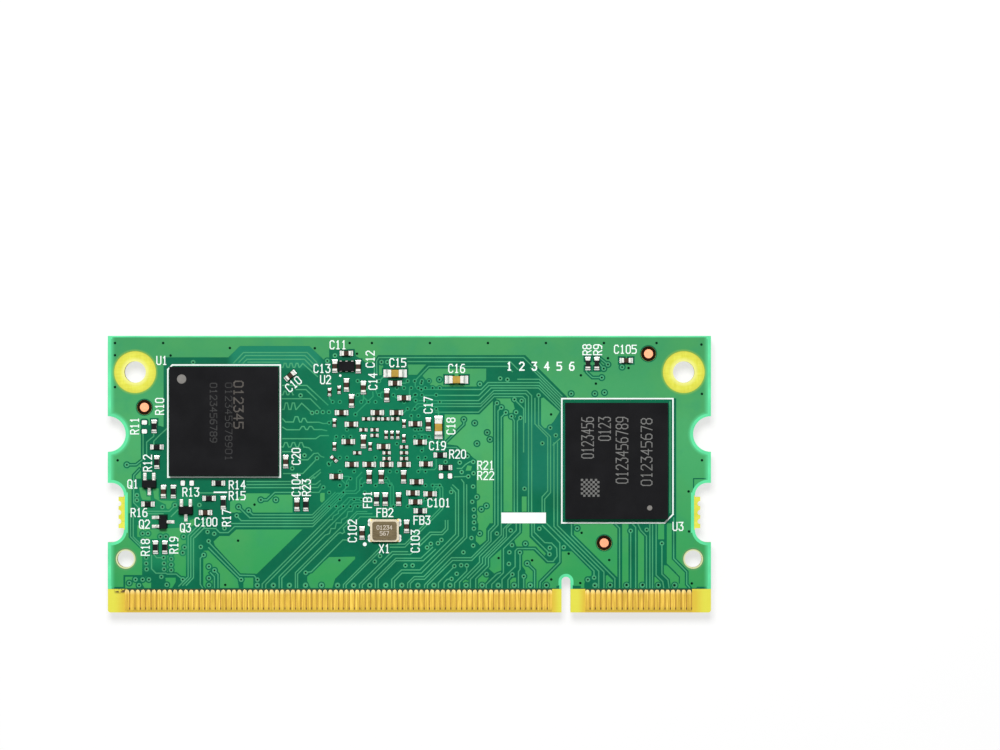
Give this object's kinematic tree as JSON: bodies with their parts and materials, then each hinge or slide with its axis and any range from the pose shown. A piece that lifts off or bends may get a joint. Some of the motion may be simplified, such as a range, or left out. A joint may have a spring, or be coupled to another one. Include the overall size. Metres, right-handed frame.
{
  "type": "system on module",
  "caption": "Flat card-edge circuit module with memory and storage packages on one face and a lidded processor on the other, keyed to slide into a board socket.",
  "frame": {"origin": "below the middle of the board, on the surface that the processor lid lies on", "axes": "+X along the contact edge, +Y from the contact edge to the far edge, +Z out of the memory side"},
  "size_m": [0.0676, 0.031, 0.0032],
  "materials": {
    "laminate": "bare glass-cloth laminate, yellow",
    "mask": "green solder mask over copper",
    "gold": "gold plate on copper",
    "copper": "bare copper",
    "mould": "black mould compound, fine grain",
    "carrier": "green package laminate",
    "solder": "bright solder",
    "tin": "tin-plated terminals and leads",
    "ceramic_base": "cream ceramic with plated edges",
    "oscillator_metal": "warm grey seam-welded metal",
    "capacitor_brown": "brown fired ceramic",
    "capacitor_ochre": "ochre fired ceramic",
    "alumina": "white alumina",
    "resistor_coat": "black coat",
    "ferrite": "dark ferrite",
    "lid_metal": "nickel-plated copper",
    "silicon": "polished silicon",
    "paste": "grey thermal paste"
  },
  "bodies": {
    "root": {"circuit_board": "laminate", "memory_side_mask": "mask", "processor_side_mask": "mask", "memory_side_contacts": "gold", "processor_side_contacts": "gold", "fiducials": "copper", "memory_mould": "mould", "memory_carrier": "carrier", "memory_balls": "solder", "storage_mould": "mould", "storage_carrier": "carrier", "storage_balls": "solder", "oscillator_base": "ceramic_base", "oscillator_lid": "oscillator_metal", "oscillator_pads": "gold", "regulator_body": "mould", "regulator_leads": "tin", "transistor_bodies": "mould", "transistor_leads": "tin", "large_capacitor_bodies": "capacitor_ochre", "medium_capacitor_bodies": "capacitor_brown", "small_capacitor_bodies": "capacitor_brown", "capacitor_terminals": "tin", "resistor_bodies": "alumina", "resistor_coats": "resistor_coat", "resistor_terminals": "tin", "bead_bodies": "ferrite", "bead_terminals": "tin", "solder_fillets": "solder", "bare_pads": "solder", "processor_carrier": "carrier", "processor_balls": "solder", "processor_die": "silicon", "die_paste": "paste", "processor_lid": "lid_metal", "inductor_bodies": "ferrite", "inductor_terminals": "tin", "power_chip_bodies": "mould", "power_chip_leads": "tin", "lower_capacitor_bodies": "capacitor_brown", "lower_capacitor_terminals": "tin", "lower_resistor_bodies": "alumina", "lower_resistor_coats": "resistor_coat", "lower_resistor_terminals": "tin", "lower_solder_fillets": "solder"}
  },
  "joints": []
}
